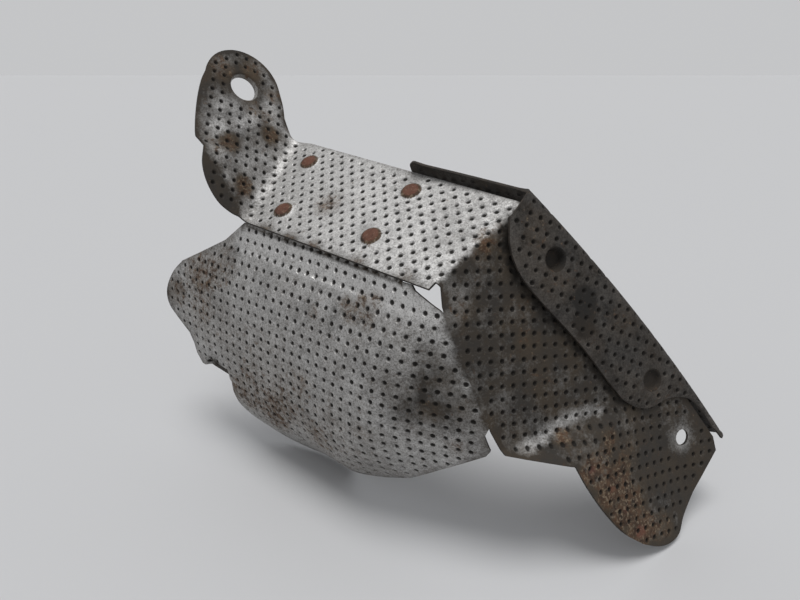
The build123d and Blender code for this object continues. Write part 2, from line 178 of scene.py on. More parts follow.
def smooth_line(points, step):
    """Rounded line through the points."""
    points = [Vector(p) for p in points]
    ends = [points[0] * 2 - points[1], *points, points[-1] * 2 - points[-2]]
    line = []
    for a, b, c, d in zip(ends, ends[1:], ends[2:], ends[3:]):
        count = max(2, round((c - b).length / step))
        for i in range(count):
            t = i / count
            line.append(
                b * (2 * t**3 - 3 * t**2 + 1) + c * (3 * t**2 - 2 * t**3)
                + (c - a) * (0.5 * (t**3 - 2 * t**2 + t)) + (d - b) * (0.5 * (t**3 - t**2))
            )
    return line + [points[-1]]


def arc_line(a, b, c, step):
    """Arc through three points."""
    a, b, c = Vector(a), Vector(b), Vector(c)
    area = 2 * ((b - a).x * (c - a).y - (b - a).y * (c - a).x)
    ab, ac = (b - a).length_squared, (c - a).length_squared
    centre = a + Vector(((c - a).y * ab - (b - a).y * ac, (b - a).x * ac - (c - a).x * ab)) / area
    start = a - centre
    turn = atan2(start.x * (c - centre).y - start.y * (c - centre).x, start.dot(c - centre))
    if turn * area < 0:
        turn += 2 * pi if area > 0 else -2 * pi
    count = max(3, round(abs(turn) * start.length / step))
    return [centre + Matrix.Rotation(turn * i / count, 2) @ start for i in range(count + 1)]


def ring(centre, radius, count):
    spokes = [2 * pi * i / count for i in range(count)]
    return [Vector((centre[0] + radius * cos(s), centre[1] + radius * sin(s))) for s in spokes]


def inside(p, loop):
    odd = False
    for a, b in zip(loop, loop[1:] + loop[:1]):
        if (a.y > p.y) != (b.y > p.y) and p.x < a.x + (b.x - a.x) * (p.y - a.y) / (b.y - a.y):
            odd = not odd
    return odd


def rows_of_holes(origin, angle, pitch, reach):
    """Square rows of hole centres round an origin, turned by an angle."""
    first = Vector((cos(radians(angle)), sin(radians(angle)))) * pitch
    second = Vector((-first.y, first.x))
    span = range(-reach, reach + 1)
    return [Vector(origin) + first * i + second * j for i in span for j in span]


# A pierced hole: a dimple that narrows to a small opening, as (radius, lift, black share); the black is grime
# in the hole and painted shade of its depth
hole_rings = ((1.28, 0.0, 0.0), (0.95, -0.3, 0.54), (0.1, -0.95, 1.0))
hole_sides = 8
dimple_radius = hole_rings[0][0]
edge_margin = 0.35
row_margin = 0.25
ring_margin = 0.3
cell_size = 3.0


def in_cells(points):
    """Points sorted into square cells, for finding those near a place."""
    cells = {}
    for p in points:
        cells.setdefault((p.x // cell_size, p.y // cell_size), []).append(p)
    return cells


def points_near(cells, p):
    steps = (-1, 0, 1)
    around = [(p.x // cell_size + i, p.y // cell_size + j) for i in steps for j in steps]
    return [q for cell in around for q in cells.get(cell, [])]


def pierce(outline, centres, plain, rings, extra):
    """Triangles of a flat blank with round holes.

    plain are discs without holes, as (centre, radius); rings are drawn features, as (centre,
    [(radius, lift), ...], open); extra are points along bends. Gives the points, each one's lift
    and black share (grime in the holes, with painted shade of their depth), the faces, and each
    point's place in the list that starts with the outline.
    """
    points, lifts, grime_and_shade_values, edges, loops = [], [], [], [], []

    def add(places, lift, grime_and_shade):
        first = len(points)
        points.extend(places)
        lifts.extend([lift] * len(places))
        grime_and_shade_values.extend([grime_and_shade] * len(places))
        return list(range(first, len(points)))

    def close(loop):
        edges.extend(zip(loop, loop[1:] + loop[:1]))

    close(add(outline, 0.0, 0.0))
    for centre, sizes, is_open in rings:
        for i, (radius, lift) in enumerate(sizes):
            loop = add(ring(centre, radius, max(16, round(radius * 5))), lift, 0.0)
            if is_open and i == len(sizes) - 1:
                close(loop)
                loops.append(set(loop))
        if not is_open:
            add([Vector(centre)], sizes[-1][1], 0.0)
    edge_cells = in_cells(outline)
    taken = []
    for centre in centres:
        if not inside(centre, outline):
            continue
        if any((centre - Vector(c)).length < r for c, r in plain):
            continue
        if any((centre - q).length < dimple_radius + edge_margin for q in points_near(edge_cells, centre)):
            continue
        taken.append(centre)
        for radius, lift, grime_and_shade_share in hole_rings:
            loop = add(ring(centre, radius, hole_sides), lift, grime_and_shade_share)
        close(loop)
        loops.append(set(loop))
    hole_cells = in_cells(taken)
    for p in extra:
        clear = all((p - c).length > dimple_radius + row_margin for c in points_near(hole_cells, p))
        clear = clear and all((p - q).length > 2 * row_margin for q in points_near(edge_cells, p))
        clear = clear and all((p - Vector(c)).length > sizes[0][0] + ring_margin for c, sizes, _ in rings)
        if clear and inside(p, outline):
            add([p], 0.0, 0.0)
    made, _, faces, sources, _, _ = delaunay_2d_cdt(points, edges, [], 1, 1e-5, True)
    source = [s[0] for s in sources]
    hole_of = {i: n for n, loop in enumerate(loops) for i in loop}
    # A triangle between three points of the outline is in the sheet if it runs round the same way
    area = sum(a.x * b.y - b.x * a.y for a, b in zip(outline, outline[1:] + outline[:1]))
    kept = []
    for face in faces:
        holes = {hole_of.get(source[i]) for i in face}
        on_edge = all(source[i] < len(outline) for i in face)
        a, b, c = (source[i] for i in face)
        same_way = ((a < b) + (b < c) + (c < a) == 2) == (area > 0)
        if (len(holes) > 1 or None in holes) and (not on_edge or same_way):
            kept.append(face)
    return made, [lifts[i] for i in source], [grime_and_shade_values[i] for i in source], kept, source


def soft_spots(spots, u, v):
    """Summed strength of soft round spots of stain or painted shade and highlight, given as (u, v, radius,
    strength).
    """
    total = 0.0
    for at_u, at_v, radius, strength in spots:
        total += strength * max(0.0, 1 - ((u - at_u) ** 2 + (v - at_v) ** 2) / radius**2)
    return total


def eased(low, high, value):
    t = min(1.0, max(0.0, (value - low) / (high - low)))
    return t * t * (3 - 2 * t)


# How dirty each panel is, with darker and cleaner places and a painted highlight along the ramp, and where it
# has rusted
soot_level = {"top": 0.13, "side": 1.0, "ear": 0.76}
soot_and_highlight_spots = {
    "top": (
        (-85, -1, 6, 0.5), (-78, 0, 4, 0.3), (-69, -1, 6, 0.45), (-57, -1, 6, 0.5), (-46, 0, 4, 0.3),
        (-34, 0, 5, 0.35), (-11, 0, 6, 0.4), (-66, 21, 8, 0.2), (-60, 19, 4, 0.2), (5, 16, 6, 0.4),
        (8, 36, 6, 0.35), (2, 8, 5, 0.3), (10, 45, 6, 0.3), (-100, 4, 8, 0.25), (-40, 46, 7, 0.15),
        (-78, 44, 6, 0.12), (-55, 30, 10, -0.08), (-20, 22, 10, -0.04), (-8, 28, 17, 0.18),
        (-101, 10, 8, 0.1),
        (-104, 24, 8, 0.12), (-108, 38, 8, 0.12),
    ),
    "side": (
        # The first eight side spots paint a lighter strip along the ramp's crease: cleaner metal with a
        # painted highlight
        (-11, 65.8, 3.4, -0.3), (-7, 67.0, 3.4, -0.5), (-2, 68.4, 3.4, -0.6), (3, 69.8, 3.6, -0.6),
        (8, 71.2, 3.6, -0.6),
        (13, 73.0, 3.6, -0.6), (18, 76.2, 3.4, -0.5), (22, 79.6, 3.2, -0.4), (44.9, 118.6, 7.0, -0.45),
        (26, 22, 9, 0.1), (16, 39, 8, 0.1), (4, 8, 9, -0.18), (-6, 50, 10, -0.06), (-6, 60, 9, -0.06),
        (29, 112, 12, 0.1), (36, 130, 14, 0.12), (6.5, 91, 7, -0.16), (0.5, 88, 6, -0.2),
    ),
    "ear": (
        (57, 31.4, 12.5, 0.32), (66, 38, 10, 0.2), (50, 43, 9, 0.22), (27, 23, 6.5, 0.42),
        (44.6, 11, 6, 0.42),
        (13.4, 8, 6.5, 0.3), (7.3, 22.7, 7.5, 0.36), (4, 15.7, 7, 0.36), (1.8, 7.7, 6.5, 0.36),
        (38.8, 40.9, 5, 0.15),
        (45.3, 21.5, 5, -0.42), (56.2, 17.5, 5, -0.42), (39, 24.3, 5, -0.4), (28.3, 31, 5, -0.34),
        (18.1, 24, 5, -0.3),
        (33, 30, 4.5, -0.3), (23.6, 12.8, 6, -0.28), (32, 8.5, 6, -0.26), (21.4, 4.3, 6, -0.2),
        (40, 35, 4, -0.28),
        (44, 30, 4, -0.25), (52, 12, 5, -0.2), (12, 16, 4, -0.15),
    ),
}
rust_spots = {
    "top": (
        (-66.5, 21, 7, 0.5), (4, 27, 4, 0.62), (6.5, 22, 3.5, 0.42), (-84, 0, 4, 0.4),
        (-57, 0, 4, 0.4), (-70, 0, 4, 0.35),
        (-35, 1, 4, 0.3), (-12, 1, 4, 0.3), (7.7, 33, 4, 0.45),
    ),
    "side": (
        (27, 1, 5, 0.55), (22, 2, 5, 0.38), (15.7, 38.7, 7, 0.26), (12.7, 50.7, 7, 0.2),
        (3.9, 74.2, 4, 0.85),
        (6.4, 91.3, 8, 0.85), (0.5, 88, 6, 0.7), (17, 89, 6, 0.55), (9.9, 102.7, 8, 0.9),
        (1, 101, 7, 0.9),
        (9, 113, 8, 0.85), (0, 112, 7, 0.9), (6.8, 126, 8, 0.9), (0.5, 123, 7, 0.8),
        (13, 134, 7, 0.5), (20, 100, 7, 0.35),
        (25, 30, 6, 0.15), (4, 12, 6, 0.15), (33, 92, 6, 0.15),
    ),
    "ear": (
        (27, 23, 6, 0.75), (44.6, 11, 5.5, 0.7), (13.4, 8, 6.5, 0.7), (57, 44, 8, 0.5),
        (67, 33, 7, 0.45), (50, 24, 6, 0.4),
        (64, 20, 5, 0.4), (20, 27, 5, 0.4), (52, 17, 5, 0.3),
    ),
}


# Left edge of the corner strip that lies over the side panel, as (distance down, distance to the rear)
strip_side = [(-4.0, 40.0), (-0.5, 37.1), (7.8, 30.5), (18.0, 27.7)]
strip_side += [(30.0, 28.3), (58.0, 31.4), (84.0, 32.4), (98.0, 44.0)]


def shadow_beside_strip(rear, down):
    """Black along the gap under the strip's edge: the painted shadow of the raised strip on the side panel,
    with dirt packed into the gap.
    """
    for (d0, r0), (d1, r1) in zip(strip_side, strip_side[1:]):
        if d0 <= down < d1:
            return eased(6.0, 1.0, r0 + (r1 - r0) * (down - d0) / (d1 - d0) - rear)
    return 0.0


def painted_on_blank(p):
    """Soot (with a painted highlight along the ramp), rust, and black at a point of the flat blank, run
    together across the bends; the black is the painted shadow beside the strip, with dirt.
    """
    flat = Vector((p.x, p.y, 0))
    waver = noise.noise(flat * 0.35)
    rear, run = fold.dot(flat), fold_away.dot(flat) + side_tangent
    down = run - side_arc + side_tangent
    along, rise = hinge.dot(flat - hinge_foot), hinge_left.dot(flat - hinge_foot) + ear_tangent
    height = rise - ear_arc + ear_tangent
    on_side = eased(0.2, 2.6, run + waver * 1.6)
    on_ear = eased(1.0, ear_arc + 5, rise + waver * 4)
    shares = {"side": on_side, "ear": on_ear, "top": 1 - on_side - on_ear}
    places = {"side": (rear, down), "ear": (along, height), "top": (p.x, p.y)}
    soot_and_shading = sum(share * (soot_level[k] + soft_spots(soot_and_highlight_spots[k], *places[k])) for k, share in shares.items())
    rust = sum(share * soft_spots(rust_spots[k], *places[k]) for k, share in shares.items())
    return soot_and_shading, rust, 0.6 * on_side * shadow_beside_strip(rear, down)


ear_line_front = hinge_foot - hinge_left * ear_tangent
ear_line_front = ear_line_front - hinge * (ear_line_front.y / hinge.y)
ear_line_rear = ear_line_front + hinge * (50.3 / hinge.y)
fold_rear = (top_rear_y + fold_away.y * side_tangent) / fold.y
side_edge = lambda down: (top_rear_y - side_down.y * down) / fold.y

# Front panel, as (along the front edge, distance down the wall, stand-out forward)
front_bend = radians(58.5)
front_down = Vector((0, -cos(front_bend), -sin(front_bend)))
front_out = Vector((0, -sin(front_bend), cos(front_bend)))
strip_slope = 2.7 / 11.0
bulge = ((11.0, 1.2), (22.0, 6.3), (40.0, 10.7), (58.0, 12.3), (78.0, 10.2), (90.0, 5.5), (112.0, -13.0))


def facet_out(along, down):
    """Stand-out of the flat facet beside the side panel, rolling under at its foot."""
    return -0.63 - 0.4234 * along + 0.1414 * down - max(0.0, down - 40.0) ** 2 / 120.0


def seam_point(down):
    """Where the facet's plane meets the side panel's plane."""
    lean = side_out.dot(front_out)
    along = -(side_out.dot(front_down) * down + lean * facet_out(0, down)) / (side_out.x - lean * 0.4234)
    return Vector((along, 0, 0)) + front_down * down + front_out * facet_out(along, down)


seam_top, seam_foot, seam_steps = 7.6, 46.4, 24
seam = [seam_point(seam_top + (seam_foot - seam_top) * i / seam_steps) for i in range(seam_steps + 1)]

corner_rear = 3.2
fold_front = (fold * corner_rear - fold_away * side_tangent).xy
bend_start, bend_end = side_blank(corner_rear, side_tangent - side_arc), side_blank(corner_rear, side_tangent)
seam_start = side_blank(seam[0].dot(fold), seam[0].dot(side_down))
blank_outline = dense([ear_line_front.xy, Vector((-1.5, 0)), fold_front], 2.2)[:-1]
blank_outline += dense([bend_start, bend_end], 1.0)[:-1]
blank_outline += dense([bend_end, seam_start], 2.0)[:-1]
seam_on_blank = range(len(blank_outline), len(blank_outline) + len(seam))
blank_outline += [side_blank(p.dot(fold), p.dot(side_down)) for p in seam]
side_corner = [Vector(p) for p in ((-15.2, 52.2), (-17.0, 62.0), (-12.5, 68.0), (-1.6, 82.0))]
foot_edge = dense(side_corner, 2.0)[:-1]
foot_left = ((-1.6, 82.0), (-3.2, 92.0), (-3.8, 105.0), (-2.8, 117.0), (1.0, 128.6))
foot_toe = ((1.0, 128.6), (5.6, 136.2), (11.0, 141.4), (17.0, 143.6), (23.5, 141.6), (32.0, 140.7))
foot_right = ((32.0, 140.7), (41.0, 139.2), (54.5, 136.6), (57.0, 131.0), (side_edge(95), 95))
foot_edge += smooth_line(foot_left, 2.0)[:-1]
foot_edge += smooth_line(foot_toe, 1.5)[:-1]
foot_edge += dense([Vector(p) for p in (*foot_right, (fold_rear, side_tangent))], 2.2)[:-1]
blank_outline += [side_blank(*p) for p in foot_edge]
fold_line_rear = (fold * fold_rear - fold_away * side_tangent).xy
blank_outline += dense([side_blank(fold_rear, side_tangent), fold_line_rear], 1.0)[:-1]
rear_corner = ear_line_rear.xy.lerp(fold_line_rear, 0.06)
blank_outline += dense((fold_line_rear, rear_corner), 2.2)[:-1]
ear_root = [rear_corner, ear_blank(51.4, 1.6), ear_blank(53.4, 4.9), ear_blank(57.6, 9.6)]
blank_outline += smooth_line(ear_root, 1.2)[:-1]
ear_top_left = ((50.5, 48.0), (44.7, 46.9), (36.4, 44.0), (27.6, 40.0), (21.5, 36.7), ear_notch_high)
lobe = (ear_notch_low, (8.9, 27.2), (3.3, 21.4), (-0.3, 13.9), (-0.6, 7.5), (0.4, ear_tangent))
ear_edge = smooth_line(((57.6, 9.6), (63.0, 13.4), (68.5, 18.5)), 1.6)[:-1]
ear_edge += arc_line((68.5, 18.5), (69.6, 44.0), (50.5, 48.0), 2.0)[:-1]
ear_edge += smooth_line(ear_top_left, 2.0)[:-1]
ear_edge += dense([Vector(ear_notch_high), Vector(ear_notch_low)], 2.0)[:-1]
ear_edge += smooth_line(lobe, 1.6)[:-1]
blank_outline += [ear_blank(*p) for p in ear_edge]
blank_outline += dense([ear_blank(0.4, ear_tangent), ear_line_front.xy], 1.2)[:-1]

# Rows of points along the bends and creases, so that they come out round
bend_rows = []
for i in range(5):
    start = side_blank(0, side_tangent - side_arc * i / 4)
    bend_rows += [start + fold.xy * (1.5 * j) for j in range(36)]
for i in range(7):
    start = ear_blank(0, ear_tangent - ear_arc * i / 6)
    bend_rows += [start + hinge.xy * (1.6 * j - 4) for j in range(42)]
for offset in (-1.6, -0.6, 0.5, 1.6):
    across, below = Vector((offset, 0)), Vector((0, offset))
    places = [ramp_start + (ramp_end - ramp_start) * (t / 30) + below for t in range(-3, 31)]
    places += [ramp_end + (foot_hinge_end - ramp_end) * (t / 34) + across for t in range(35)]
    places += [ramp_end + (foot_top - ramp_end) * (t / 22) + below for t in range(24)]
    bend_rows += [side_blank(*p) for p in places]

button_rings = ((4.4, 0.0), (4.05, 0.16), (3.7, 0.5), (3.0, 0.85), (2.1, 1.05), (1.0, 1.12))
# The collar's rings, as (radius, lift) on the outer face and on the inner face
collar_rings = ((8.3, 0.0), (7.4, -0.06), (6.7, -0.35), (6.2, -0.9), (5.9, -1.7), (5.8, -2.6))
collar_inside = ((8.3, -1.0), (7.95, -1.05), (7.55, -1.3), (7.2, -1.7), (6.9, -2.15), (6.8, -2.6))
foot_hole_rings = ((9.0, 0.0), (5.5, 0.0), (3.25, 0.0))
shield_holes = rows_of_holes((-1.496, 0.736), 39.45, 4.5, 62)
ear_hole_flat = ear_blank(*ear_hole)
foot_hole_flat = side_blank(*foot_hole)
plain = [(spot, 5.4) for spot in buttons] + [(ear_hole_flat, 9.6), (foot_hole_flat, 9.4)]
features = [(spot, button_rings, False) for spot in buttons]
features += [(foot_hole_flat, foot_hole_rings, True)]
# The collar's rings lie one inside the other on the blank, and are drawn out to their own radii
collar_flat = [(8.9 - 0.75 * i, i) for i in range(len(collar_rings))]
features += [(ear_hole_flat, collar_flat, True)]
made, lifts, grime_and_shade_values, faces, source = pierce(blank_outline, shield_holes, plain, features, bend_rows)

paint_names = ("grime_and_shade", "soot_and_shading", "rust")


def new_skin():
    """Empty mesh with its painted layers: black (grime, with painted shade in the holes and beside the
    strip), soot with painted shade and highlights, and rust.
    """
    bm = bmesh.new()
    for name in paint_names:
        bm.verts.layers.float.new(name)
    return bm


def add_vert(bm, place, *paint):
    vert = bm.verts.new(place)
    for name, value in zip(paint_names, paint):
        vert[bm.verts.layers.float[name]] = value
    return vert


shield_mesh = new_skin()
shield_inner = {}
blank_verts = []
for p, lift, grime_and_shade, at in zip(made, lifts, grime_and_shade_values, source):
    soot_and_shading, rust, strip_shadow_and_grime = painted_on_blank(p)
    soot_and_shading += 0.3 if at < len(blank_outline) and at not in seam_on_blank else 0.0
    inner_p, inner_lift = p, lift - sheet
    if lift > 0 and min((p - Vector(spot)).length for spot in buttons) < 5:
        soot_and_shading, rust = 0.9, 1.25 if lift > 0.6 else 0.75
    if (p - ear_hole_flat).length < 9.0 and lift in (0, 1, 2, 3, 4, 5):
        spoke = (p - ear_hole_flat).normalized()
        inner_p = ear_hole_flat + spoke * collar_inside[int(lift)][0]
        inner_lift = collar_inside[int(lift)][1]
        p = ear_hole_flat + spoke * collar_rings[int(lift)][0]
        soot_and_shading -= 0.45 * (lift > 2)
        lift = collar_rings[int(lift)][1]
    vert = add_vert(shield_mesh, fold_up(p, lift), max(grime_and_shade, strip_shadow_and_grime), soot_and_shading, rust)
    shield_inner[vert] = fold_up(inner_p, inner_lift)
    blank_verts.append(vert)
for face in faces:
    shield_mesh.faces.new([blank_verts[i] for i in face])
blank_seam = {s: blank_verts[i] for i, s in enumerate(source) if s in seam_on_blank}

# Front panel of the shield, with its flange bent back under the top.
# The same sheet, drawn into a bulge with a flat facet that runs into the side panel; the flange
# under the top is held to it by the four pressed buttons.
strip_angle = front_bend - atan(strip_slope)
flange_radius = 2.5
flange_z = -sheet - lap_gap
strip_start = front_out * -1.5
strip_run = (front_down + front_out * strip_slope).normalized()
flange_corner = strip_start + strip_run * ((flange_z - strip_start.z) / strip_run.z)
flange_tangent = flange_radius * tan(strip_angle / 2)
flange_arc = flange_radius * strip_angle
bend_down = (flange_corner + strip_run * flange_tangent).dot(front_down)
flange_rear_y = 43.0
flange_run = flange_rear_y - (flange_corner.y + flange_tangent)
stretch = sqrt(1 + strip_slope**2)
flange_rear = bend_down - (flange_arc + flange_run) / stretch


def spline_slopes(points):
    """Second derivatives of the natural cubic spline through the points."""
    n = len(points)
    lower, rest = [0.0] * n, [0.0] * n
    for i in range(1, n - 1):
        (x0, y0), (x1, y1), (x2, y2) = points[i - 1 : i + 2]
        share = (x1 - x0) / (x2 - x0)
        pivot = share * lower[i - 1] + 2
        lower[i] = (share - 1) / pivot
        bend = (y2 - y1) / (x2 - x1) - (y1 - y0) / (x1 - x0)
        rest[i] = (6 * bend / (x2 - x0) - share * rest[i - 1]) / pivot
    second = [0.0] * n
    for i in range(n - 2, -1, -1):
        second[i] = lower[i] * second[i + 1] + rest[i]
    return second


bulge_second = spline_slopes(bulge)


def bulge_out(down):
    if down < bulge[0][0]:
        return -1.5 + strip_slope * down
    k = max(i for i in range(len(bulge) - 1) if bulge[i][0] <= down)
    (x0, y0), (x1, y1) = bulge[k : k + 2]
    a, b, width = (x1 - down) / (x1 - x0), (down - x0) / (x1 - x0), x1 - x0
    ends = (a**3 - a) * bulge_second[k] + (b**3 - b) * bulge_second[k + 1]
    return a * y0 + b * y1 + ends * width**2 / 6


recess_left, recess_right, recess_top, recess_depth = -121.0, -103.0, 70.5, 2.5


def recess_drop(along, down):
    edge = min(along - recess_left, recess_right - along, down - recess_top)
    return -recess_depth * min(1.0, max(0.0, edge / 0.9))


def front_skin(along, down):
    sag = 4.5 * eased(-50, -84, along) * eased(66, 88, down)
    out = soft_lower(bulge_out(down - sag), facet_out(along, down), 3.0)
    return Vector((along, 0, 0)) + front_down * down + front_out * out


def front_up(p, lift):
    """Place of a point of the front panel's blank; above the wall it runs on into the flange."""
    along, down = p
    run = (bend_down - down) * stretch
    if run > 0 and along <= -13.9:
        if run > flange_arc:
            return Vector((along, flange_corner.y + flange_tangent + run - flange_arc, flange_z + lift))
        angle = strip_angle * (1 - run / flange_arc)
        normal = Vector((0, -sin(angle), cos(angle)))
        strip_normal = Vector((0, -sin(strip_angle), cos(strip_angle)))
        centre = flange_corner + strip_run * flange_tangent - strip_normal * flange_radius
        return Vector((along, 0, 0)) + centre + normal * (flange_radius + lift)
    here = front_skin(along, down)
    across = front_skin(along, down + 0.1) - here
    normal = across.cross(front_skin(along + 0.1, down) - here).normalized()
    return here + normal * (lift + recess_drop(along, down))


front_left = ((-98.0, 1.2), (-99.5, 1.2), (-110.9, 11.4), (-125.0, 20.0), (-136.4, 26.6))
front_tip = ((-136.4, 26.6), (-142.6, 33.2), (-147.0, 41.2), (-147.8, 46.8), (-145.6, 51.5), (-140.0, 55.2))
front_low = ((-140.0, 55.2), (-130.4, 60.6), (-127.8, 65.3), (-127.0, 70.9), (-124.0, 75.6), (-118.0, 76.2))
front_low += ((-101.6, 76.4), (-102.4, 83.0), (-101.4, 91.0), (-97.0, 99.0), (-90.0, 106.0), (-80.0, 110.0))
front_low += ((-66.0, 110.6), (-44.0, 109.0), (-37.0, 100.5), (-19.0, 94.0), (-6.8, 87.2), (7.7, 73.7))
front_low += ((17.3, 65.5), (24.5, 59.5), (26.0, 56.6), (23.7, 50.4))
flange_edge = [(-9.4, 1.5), (-13.6, 1.7), (-14.0, 1.8)]
flange_edge += [(-14.0, flange_rear), (-98.0, flange_rear), (-98.0, 1.2)]
front_outline = dense([Vector(p) for p in flange_edge], 2.0)[:-1]
front_outline += dense([Vector(p) for p in front_left], 2.0)[:-1]
front_outline += smooth_line(front_tip, 1.8)[:-1]
seam_front = [Vector((p.x, p.dot(front_down))) for p in reversed(seam)]
front_outline += dense([Vector(p) for p in front_low] + [seam_front[0]], 2.0)[:-1]
seam_on_front = range(len(front_outline), len(front_outline) + len(seam))
front_outline += seam_front
corner_cut = (seam_front[-1], Vector((-3.0, 4.6)), Vector((-7.8, 3.0)), Vector((-9.4, 1.5)))
front_outline += dense(corner_cut, 1.5)[1:-1]

ridge_down = lambda along: 12.0 - 0.013 * (along + 50)
front_rows = []
for i in range(6):
    down = bend_down - flange_arc * i / 5 / stretch
    front_rows += [Vector((-97 + 1.6 * j, down)) for j in range(52)]
for offset in (0.7, 1.4, 2.1):
    front_rows += [Vector((-97 + 1.6 * j, bend_down + offset)) for j in range(52)]
for offset in (-0.3, 0.5, 1.2):
    low = recess_top + offset
    front_rows += [Vector((recess_left + 18 * t / 14, low)) for t in range(15)]
    front_rows += [Vector((recess_left + offset, recess_top + t)) for t in range(1, 8)]
    front_rows += [Vector((recess_right - offset, recess_top + t)) for t in range(1, 8)]
for offset in (-1.3, -0.55, 0.0, 0.55, 1.3):
    front_rows += [Vector((-103 + 1.6 * j, ridge_down(-103 + 1.6 * j) + offset)) for j in range(56)]
front_holes = []
for i in range(-26, 19):
    along = -39.8 + 4.72 * i if i < 8 else -2.04 + 4.3 * (i - 8)
    front_holes += [Vector((along, 38.4 - 0.18 * i + 4.62 * j)) for j in range(-22, 18)]
flange_start = flange_corner.y + flange_tangent
flange_buttons = [Vector((x, bend_down - (flange_arc + y - flange_start) / stretch)) for x, y in buttons]
pressed_rings = ((3.0, 0.0), (2.5, 0.15), (2.3, 0.7), (2.1, 1.0), (1.2, 1.05))
plain = [(spot, 4.6) for spot in flange_buttons]
features = [(spot, pressed_rings, False) for spot in flange_buttons]
made, lifts, grime_and_shade_values, faces, source = pierce(front_outline, front_holes, plain, features, front_rows)
front_soot_and_shade = (
    (-139, 42, 9, 0.25), (-146, 46, 6, 0.3), (-122, 28, 10, 0.08), (-107, 40, 10, 0.1),
    (-51, 21.5, 5, 0.15), (-41, 23, 6, 0.15),
    (-47, 18, 4, -0.2), (-58, 17, 6, -0.18), (-52, 26, 6, 0.12), (-62, 24, 6, 0.1), (-31, 19, 6, 0.1),
    (-24, 18, 5, 0.1),
    (-4, 41, 12, 0.3), (4, 28, 11, 0.36), (1, 48, 12, 0.3), (14, 44, 11, 0.36), (9, 36, 12, 0.3),
    (-14, 34, 10, 0.12),
    (20, 56, 8, 0.12), (6, 66, 10, -0.06), (-11, 5, 7, -0.25), (-20, 7, 8, -0.22), (-6, 12, 7, -0.12),
    (-120, 62, 7, -0.12),
    # The strong spot at the pressed recess is painted shade in it, with dirt; the spots low on the wall make
    # it darker towards the bottom
    (-112, 75, 8, 0.9), (-86, 66, 12, 0.06), (-65, 71, 12, 0.05), (-75, 92, 14, 0.12),
    (-50, 98, 16, 0.14), (-20, 85, 14, 0.1),
    (-90, 30, 12, -0.06), (-75, 40, 14, -0.05), (-52, 69, 2.5, 0.3), (-36, 64, 2.5, 0.3),
    (-49, 67.5, 2, 0.25),
)
front_rust = (
    (-28.7, 12.6, 4, 0.6), (-23, 10.5, 4, 0.5), (-32.5, 18.3, 5, 0.5), (-24, 18, 4.5, 0.45),
    (-36, 15, 3.5, 0.45),
    (-122, 28, 14, 0.46), (-107, 22, 11, 0.4), (-139, 42, 9, 0.42), (-120, 45, 10, 0.22),
    (-86, 66, 10, 0.22), (-65, 71, 12, 0.24),
    (-75, 82, 14, 0.42), (-45, 78, 10, 0.3), (-95, 80, 11, 0.46), (-52, 55, 8, 0.22), (6, 45, 6, 0.3),
    (15, 58, 5, 0.3),
    (-50, 23, 4, 0.3), (-108, 10, 6, 0.25), (-20, 62, 6, 0.22), (-78, 62, 34, 0.2), (-40, 74, 30, 0.18),
    (-118, 45, 24, 0.16),
)
front_verts = []
last = len(seam) - 1
for p, lift, grime_and_shade, at in zip(made, lifts, grime_and_shade_values, source):
    if at in seam_on_front:
        vert = blank_seam[seam_on_blank[last - (at - seam_on_front[0])]]
        shield_inner[vert] = shield_inner[vert].lerp(front_up(p, -sheet), 0.5)
        front_verts.append(vert)
        continue
    # A thin painted highlight along the ridge of the bulge, which is also raised a little there
    ridge_and_highlight = max(0.0, 1 - abs(p.y - ridge_down(p.x)) / 0.8)
    ridge_and_highlight *= eased(-103, -97, p.x) * (1 - 0.75 * eased(-38, -14, p.x))
    # Painted shade: a dark band just under the top panel's front edge, and a darker flange hidden under the
    # top
    shade_under_top = 1.3 * max(0.0, 1 - (p.y - bend_down) / 2.0) if p.y > bend_down else 0.6
    soot_and_shading = 0.41 - 0.8 * ridge_and_highlight + soft_spots(front_soot_and_shade, p.x, p.y) + shade_under_top
    soot_and_shading += 0.3 if at < len(front_outline) else 0.0
    # The upper band of the wall, below the top's edge, is painted lighter: a painted highlight
    soot_and_shading -= 0.38 * eased(15, 9, p.y)
    lift += 0.4 * ridge_and_highlight
    vert = add_vert(shield_mesh, front_up(p, lift), grime_and_shade, soot_and_shading, soft_spots(front_rust, p.x, p.y))
    shield_inner[vert] = front_up(p, lift - sheet)
    front_verts.append(vert)
for face in faces:
    shield_mesh.faces.new([front_verts[i] for i in reversed(face)])

turn_z, lean_y, tip_x = radians(-39.1), radians(3.2), radians(31.5)
stand = Matrix.Rotation(turn_z, 3, "Z") @ Matrix.Rotation(lean_y, 3, "Y") @ Matrix.Rotation(tip_x, 3, "X")
stand_at = Vector((-0.633, -51.359, 107.184))


